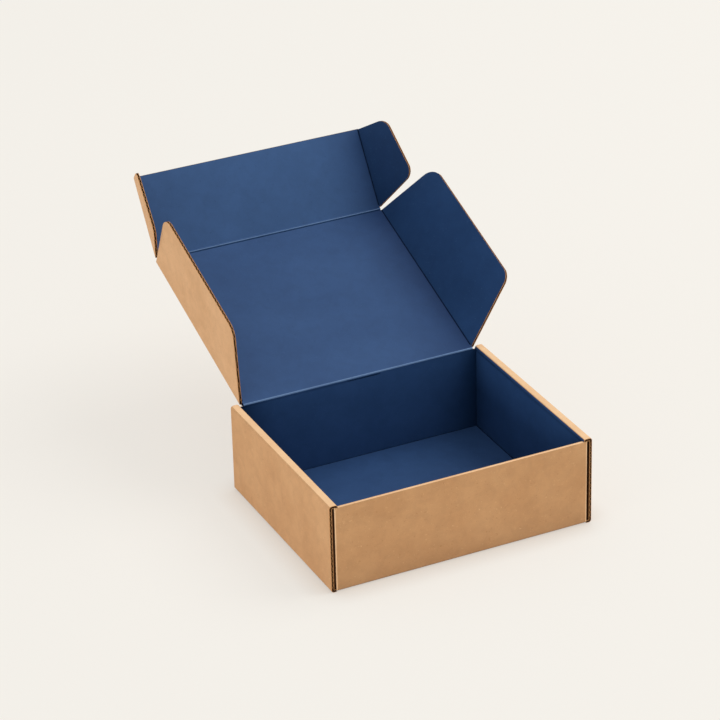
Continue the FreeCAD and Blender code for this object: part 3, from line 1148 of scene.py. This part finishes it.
def makeFloor(dims):
    bpy.ops.mesh.primitive_plane_add(size=dims["floorSize"], location=(0, 0, -dims["floorDrop"]))
    floor = bpy.context.object
    floor.name = "floor"
    material, shader = freshMaterial("studio floor")
    shader.inputs["Base Color"].default_value = dims["floorTone"]
    shader.inputs["Roughness"].default_value = 0.95
    shader.inputs["Specular IOR Level"].default_value = 0.1
    glow = nodeIn(material, "ShaderNodeEmission", {"Strength": 1.0})
    # a painted contact shadow: the floor's unlit look darkens softly where ambient occlusion finds the box
    # close
    contact = nodeIn(material, "ShaderNodeAmbientOcclusion", {"Distance": dims["contactShadowReach"]},
                     samples=dims["contactSamples"])
    tone = between(material, contact.outputs["AO"], 0.5, 1.0, dims["contactShadowTone"], dims["background"])
    wire(material, tone, glow.inputs["Color"])
    path = nodeIn(material, "ShaderNodeLightPath")
    share = nodeIn(material, "ShaderNodeMath", {1: dims["floorGlow"]}, operation="MULTIPLY")
    mix = nodeIn(material, "ShaderNodeMixShader")
    output = [node for node in material.node_tree.nodes if node.type == "OUTPUT_MATERIAL"][0]
    wire(material, path.outputs["Is Camera Ray"], share.inputs[0])
    wire(material, share.outputs[0], mix.inputs[0])
    wire(material, shader.outputs["BSDF"], mix.inputs[1])
    wire(material, glow.outputs["Emission"], mix.inputs[2])
    wire(material, mix.outputs[0], output.inputs["Surface"])
    floor.data.materials.append(material)


def makeWorld(dims):
    world = bpy.data.worlds.new("studio")
    bpy.context.scene.world = world
    world.use_nodes = True
    tree = world.node_tree
    tree.nodes.clear()
    output = tree.nodes.new("ShaderNodeOutputWorld")
    air = tree.nodes.new("ShaderNodeBackground")
    air.inputs["Color"].default_value = (1, 1, 1, 1)
    air.inputs["Strength"].default_value = dims["ambient"]
    wall = tree.nodes.new("ShaderNodeBackground")
    wall.inputs["Color"].default_value = dims["background"]
    path = tree.nodes.new("ShaderNodeLightPath")
    mix = tree.nodes.new("ShaderNodeMixShader")
    tree.links.new(path.outputs["Is Camera Ray"], mix.inputs[0])
    tree.links.new(air.outputs[0], mix.inputs[1])
    tree.links.new(wall.outputs[0], mix.inputs[2])
    tree.links.new(mix.outputs[0], output.inputs["Surface"])


def makeLamp(name, where, power, size, aim):
    bpy.ops.object.light_add(type="AREA", location=where)
    lamp = bpy.context.object
    lamp.name = name
    lamp.data.energy = power
    lamp.data.shape = "RECTANGLE"
    lamp.data.size, lamp.data.size_y = size
    lamp.rotation_euler = (Vector(where) - Vector(aim)).to_track_quat("Z", "Y").to_euler()


def aimCamera(dims):
    bpy.ops.object.camera_add()
    cam = bpy.context.object
    cam.data.sensor_width = dims["sensor"]
    cam.data.lens = dims["focal"]
    cam.data.clip_end = dims["reach"]
    turn = (Matrix.Rotation(math.radians(-dims["azimuth"]), 4, "Z")
            @ Matrix.Rotation(math.radians(90 - dims["elevation"]), 4, "X")
            @ Matrix.Rotation(math.radians(dims["roll"]), 4, "Z"))
    back = turn.to_3x3() @ Vector((0, 0, 1))
    cam.matrix_world = Matrix.Translation(Vector(dims["aim"]) + back * dims["distance"]) @ turn
    bpy.context.scene.camera = cam


makeFloor(studio)
makeWorld(studio)
makeLamp("key", studio["keyPlace"], studio["keyPower"], studio["keySize"], studio["lampAim"])
makeLamp("fill", studio["fillPlace"], studio["fillPower"], studio["fillSize"], studio["lampAim"])
aimCamera(camera)
bpy.context.scene.view_settings.view_transform = "Standard"
print("studio made")
bpy.context.view_layer.update()
